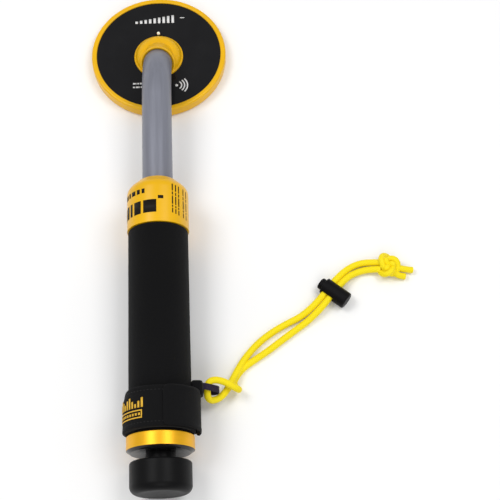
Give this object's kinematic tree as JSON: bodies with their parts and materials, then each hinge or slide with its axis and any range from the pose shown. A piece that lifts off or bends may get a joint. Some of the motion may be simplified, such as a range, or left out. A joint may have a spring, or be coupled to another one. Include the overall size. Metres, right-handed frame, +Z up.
{
  "type": "pinpointer probe",
  "caption": "Underwater pinpointer metal detector: round search coil on a bent pipe, foam-gripped handle, twist knob and wrist strap with a corded toggle.",
  "frame": {"origin": "centre of the coil head's flat underside, on the table", "axes": "+Z up from the table; the handle runs from the head towards -Y; +X is the side the wrist cord lies on"},
  "size_m": [0.2676, 0.4609, 0.0619],
  "materials": {
    "yellow_housing": "satin moulded yellow ABS",
    "anodised_ring": "anodised gold-yellow, fine turned finish",
    "face_black": "glossy black plate",
    "knob_black": "satin black moulding",
    "dark_plate": "dark grey glossy end face",
    "pipe_grey": "satin grey pipe",
    "foam_grip": "closed-cell foam",
    "strap_fabric": "neoprene-backed loop fabric",
    "webbing": "narrow woven webbing",
    "cord_yellow": "braided elastic cord",
    "lock_black": "fine-textured nylon",
    "seal_rubber": "O-ring rubber",
    "led_white": "diffuse white lens",
    "copper": "enamelled copper wire",
    "potting": "epoxy fill",
    "inner_plastic": "moulded carrier",
    "tube_shell": "pressure tube",
    "board_green": "solder-masked board",
    "chip_black": "moulded packages",
    "can_blue": "sleeved capacitors",
    "steel": "plain steel",
    "brass": "turned brass",
    "battery_wrap": "printed steel can",
    "wire_jacket": "cable jacket"
  },
  "bodies": {
    "handle": {"coil_shell": "yellow_housing", "coil_face_plate": "face_black", "coil_former": "inner_plastic", "coil_winding": "copper", "coil_potting": "potting", "hub_socket": "yellow_housing", "socket_seal": "seal_rubber", "indicator_led": "led_white", "bent_pipe": "pipe_grey", "coil_lead": "wire_jacket", "strap_loop": "webbing", "cord_knot": "cord_yellow", "cord_tails": "cord_yellow", "lock_barrel": "lock_black", "lock_spring": "steel", "front_collar": "yellow_housing", "pipe_seal": "seal_rubber", "housing_tube": "tube_shell", "collar_seal": "seal_rubber", "grip_sleeve": "foam_grip", "end_ring": "anodised_ring", "end_plate": "dark_plate", "plug_seal": "seal_rubber", "switch_spring": "steel", "switch_block": "inner_plastic", "switch_terminals": "brass", "rear_bulkhead": "inner_plastic", "battery_block": "battery_wrap", "battery_studs": "steel", "battery_snap": "chip_black", "battery_cradle": "inner_plastic", "battery_leads": "wire_jacket", "chassis": "inner_plastic", "circuit_board": "board_green", "board_screws": "steel", "board_chips": "chip_black", "board_capacitors": "can_blue", "coil_connector": "chip_black", "power_connector": "chip_black", "vibration_motor": "steel", "motor_clamp": "inner_plastic", "strap_band": "strap_fabric", "strap_hook_patch": "strap_fabric", "strap_flap": "strap_fabric", "strap_tab": "strap_fabric", "cord_leg_a": "cord_yellow", "cord_leg_b": "cord_yellow"},
    "switch_carriage": {"switch_plunger": "brass"},
    "knob": {"knob_stem": "knob_black", "control_knob": "knob_black", "knob_seals": "seal_rubber"},
    "rotor": {"motor_shaft": "steel", "eccentric_weight": "brass"},
    "lock_button": {"lock_button": "lock_black"}
  },
  "joints": [
    {"name": "knob_travel", "type": "slide", "parent": "handle", "child": "switch_carriage", "axis": [0, 0.9986, 0.0523], "range_m": [0, 0.00301], "deforming": ["switch_spring"]},
    {"name": "knob_turn", "type": "hinge", "parent": "switch_carriage", "child": "knob", "pos_m": [0, -0.38647, 0.02497], "axis": [0, 0.9986, 0.0523], "range_deg": [0, 540]},
    {"name": "weight_spin", "type": "hinge", "parent": "handle", "child": "rotor", "pos_m": [0, -0.21129, 0.02614], "axis": [0, 0.9986, 0.0523], "continuous": true},
    {"name": "lock_press", "type": "slide", "parent": "handle", "child": "lock_button", "axis": [0.766, -0.6428, 0], "range_m": [0, 0.0025], "stiffness_N_per_m": 900, "springref_m": -0.002, "deforming": ["lock_spring"]}
  ],
  "couplings": [
    {"joint": "knob_travel", "follows": "knob_turn", "m_per_rad": 0.00031831}
  ]
}
